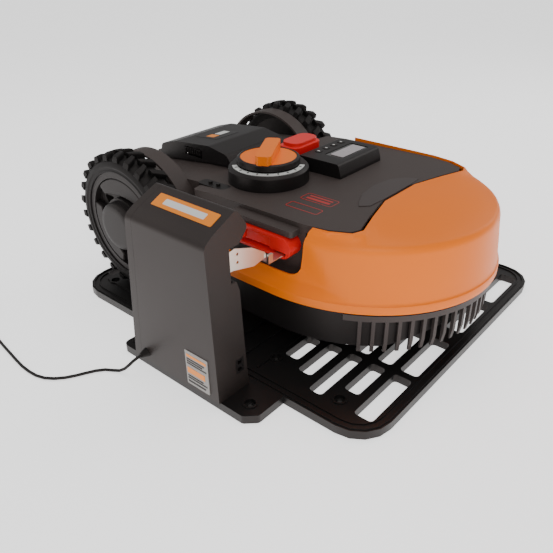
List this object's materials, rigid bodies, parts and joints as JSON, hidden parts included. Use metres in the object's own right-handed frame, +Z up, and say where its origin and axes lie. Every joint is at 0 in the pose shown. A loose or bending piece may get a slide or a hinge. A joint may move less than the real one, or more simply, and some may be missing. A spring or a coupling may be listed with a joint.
{
  "type": "robotic lawn mower",
  "caption": "Robotic lawn mower with a floating bumper shell, lugged drive wheels, a height knob and a slotted dock with a charging tower.",
  "frame": {"origin": "on the flat underside of the dock plate, under the drive wheel axle, on the mower centre plane", "axes": "+X is the mower's forward direction, +Y its left side, +Z up"},
  "size_m": [0.779, 0.8095, 0.2913],
  "materials": {
    "black_plastic": "fine-textured moulding",
    "dock_plastic": "satin moulding",
    "tower_plastic": "satin, fine grain",
    "circuit_board": "solder mask",
    "cord_sheath": "smooth sheath",
    "contact_metal": "nickel plated",
    "deck_plastic": "fine spark-eroded grain",
    "orange_plastic": "semi-gloss moulding",
    "red_plastic": "semi-gloss moulding",
    "tyre_rubber": "moulded rubber",
    "wheel_plastic": "satin moulding",
    "bright_steel": "turned",
    "display_glass": "clear window",
    "white_plastic": "printed ring",
    "disc_plastic": "moulded nylon"
  },
  "bodies": {
    "dock": {"base_near": "dock_plastic", "base_far": "dock_plastic", "tower_pad": "dock_plastic", "tower_housing": "tower_plastic", "tower_back_cover": "tower_plastic", "terminal_socket": "black_plastic", "charge_board": "circuit_board", "cable_grommet": "cord_sheath", "contact_holder": "black_plastic", "supply_cord": "cord_sheath", "cord_coil": "cord_sheath", "cord_plug": "cord_sheath"},
    "contact_arm": {"contact_tongue": "contact_metal"},
    "mower": {"chassis": "black_plastic", "front_grille": "black_plastic", "top_deck": "deck_plastic", "charging_connector": "red_plastic", "connector_contact": "contact_metal", "battery_pack": "black_plastic", "control_housing": "black_plastic", "display_lens": "display_glass", "control_board": "circuit_board", "knob_bezel": "black_plastic", "scale_ring": "white_plastic", "rain_sensor": "black_plastic", "gearbox_left": "black_plastic", "gearbox_right": "black_plastic", "drive_motors": "bright_steel", "guide_rods": "bright_steel", "main_board": "circuit_board", "cover_hinge_pin": "bright_steel"},
    "shell": {"orange_shell": "orange_plastic"},
    "wheel_left": {"tyre_left": "tyre_rubber", "rim_left": "wheel_plastic", "hub_cap_left": "wheel_plastic", "shaft_left": "bright_steel"},
    "wheel_right": {"tyre_right": "tyre_rubber", "rim_right": "wheel_plastic", "hub_cap_right": "wheel_plastic", "shaft_right": "bright_steel"},
    "caster_swivel": {"caster_fork": "black_plastic", "caster_axle": "bright_steel"},
    "caster_roller": {"caster_wheel": "tyre_rubber"},
    "cutting_head": {"head_carrier": "black_plastic", "cutting_motor": "bright_steel"},
    "disc": {"blade_disc": "disc_plastic", "blade_screws": "bright_steel"},
    "blade_1": {"blade_1": "bright_steel"},
    "blade_2": {"blade_2": "bright_steel"},
    "blade_3": {"blade_3": "bright_steel"},
    "knob": {"height_knob": "orange_plastic", "lift_screw": "bright_steel"},
    "stop_button": {"stop_button": "red_plastic"},
    "key_1": {"key_1": "black_plastic"},
    "key_2": {"key_2": "black_plastic"},
    "key_3": {"key_3": "black_plastic"},
    "key_4": {"key_4": "black_plastic"},
    "battery_lid": {"battery_cover": "black_plastic"},
    "latch_left": {"latch_left": "black_plastic"},
    "latch_right": {"latch_right": "black_plastic"}
  },
  "joints": [
    {"name": "drive_out", "type": "slide", "parent": "dock", "child": "mower", "axis": [1, 0, 0], "range_m": [0, 0.5]},
    {"name": "contact_flex", "type": "hinge", "parent": "dock", "child": "contact_arm", "pos_m": [0.342, -0.322, 0.217], "axis": [0, 0, 1], "range_deg": [-4, 4], "stiffness_Nm_per_rad": 1.5},
    {"name": "shell_float", "type": "slide", "parent": "mower", "child": "shell", "axis": [1, 0, 0], "range_m": [-0.004, 0], "stiffness_N_per_m": 4000},
    {"name": "wheel_left_spin", "type": "hinge", "parent": "mower", "child": "wheel_left", "pos_m": [0, 0.2, 0.1438], "axis": [0, 1, 0], "continuous": true},
    {"name": "wheel_right_spin", "type": "hinge", "parent": "mower", "child": "wheel_right", "pos_m": [0, -0.2, 0.1438], "axis": [0, 1, 0], "continuous": true},
    {"name": "caster_turn", "type": "hinge", "parent": "mower", "child": "caster_swivel", "pos_m": [0.42, 0, 0.11], "axis": [0, 0, 1], "continuous": true},
    {"name": "caster_spin", "type": "hinge", "parent": "caster_swivel", "child": "caster_roller", "pos_m": [0.402, 0, 0.0543], "axis": [0, 1, 0], "continuous": true},
    {"name": "height_slide", "type": "slide", "parent": "mower", "child": "cutting_head", "axis": [0, 0, 1], "range_m": [-0.015, 0.015]},
    {"name": "disc_spin", "type": "hinge", "parent": "cutting_head", "child": "disc", "pos_m": [0.204, -0.076, 0.06], "axis": [0, 0, 1], "continuous": true},
    {"name": "knob_turn", "type": "hinge", "parent": "mower", "child": "knob", "pos_m": [0.204, -0.076, 0.238], "axis": [0, 0, 1], "range_deg": [-135, 135]},
    {"name": "stop_press", "type": "slide", "parent": "mower", "child": "stop_button", "axis": [0, 0, 1], "range_m": [-0.004, 0], "stiffness_N_per_m": 2500},
    {"name": "lid_open", "type": "hinge", "parent": "mower", "child": "battery_lid", "pos_m": [-0.088, 0, 0.214], "axis": [0, -1, 0], "range_deg": [0, 95]},
    {"name": "latch_left_press", "type": "slide", "parent": "battery_lid", "child": "latch_left", "axis": [0, 1, 0], "range_m": [-0.003, 0], "stiffness_N_per_m": 1200},
    {"name": "latch_right_press", "type": "slide", "parent": "battery_lid", "child": "latch_right", "axis": [0, 1, 0], "range_m": [0, 0.003], "stiffness_N_per_m": 1200},
    {"name": "blade_1_swing", "type": "hinge", "parent": "disc", "child": "blade_1", "pos_m": [0.266, -0.076, 0.0506], "axis": [0, 0, 1], "range_deg": [-100, 100]},
    {"name": "blade_2_swing", "type": "hinge", "parent": "disc", "child": "blade_2", "pos_m": [0.173, -0.02231, 0.0506], "axis": [0, 0, 1], "range_deg": [-100, 100]},
    {"name": "blade_3_swing", "type": "hinge", "parent": "disc", "child": "blade_3", "pos_m": [0.173, -0.12969, 0.0506], "axis": [0, 0, 1], "range_deg": [-100, 100]},
    {"name": "key_1_press", "type": "slide", "parent": "mower", "child": "key_1", "axis": [0, 0, 1], "range_m": [-0.0008, 0], "stiffness_N_per_m": 1500},
    {"name": "key_2_press", "type": "slide", "parent": "mower", "child": "key_2", "axis": [0, 0, 1], "range_m": [-0.0008, 0], "stiffness_N_per_m": 1500},
    {"name": "key_3_press", "type": "slide", "parent": "mower", "child": "key_3", "axis": [0, 0, 1], "range_m": [-0.0008, 0], "stiffness_N_per_m": 1500},
    {"name": "key_4_press", "type": "slide", "parent": "mower", "child": "key_4", "axis": [0, 0, 1], "range_m": [-0.0008, 0], "stiffness_N_per_m": 1500}
  ],
  "couplings": [
    {"joint": "knob_turn", "follows": "height_slide", "rad_per_m": 157}
  ]
}
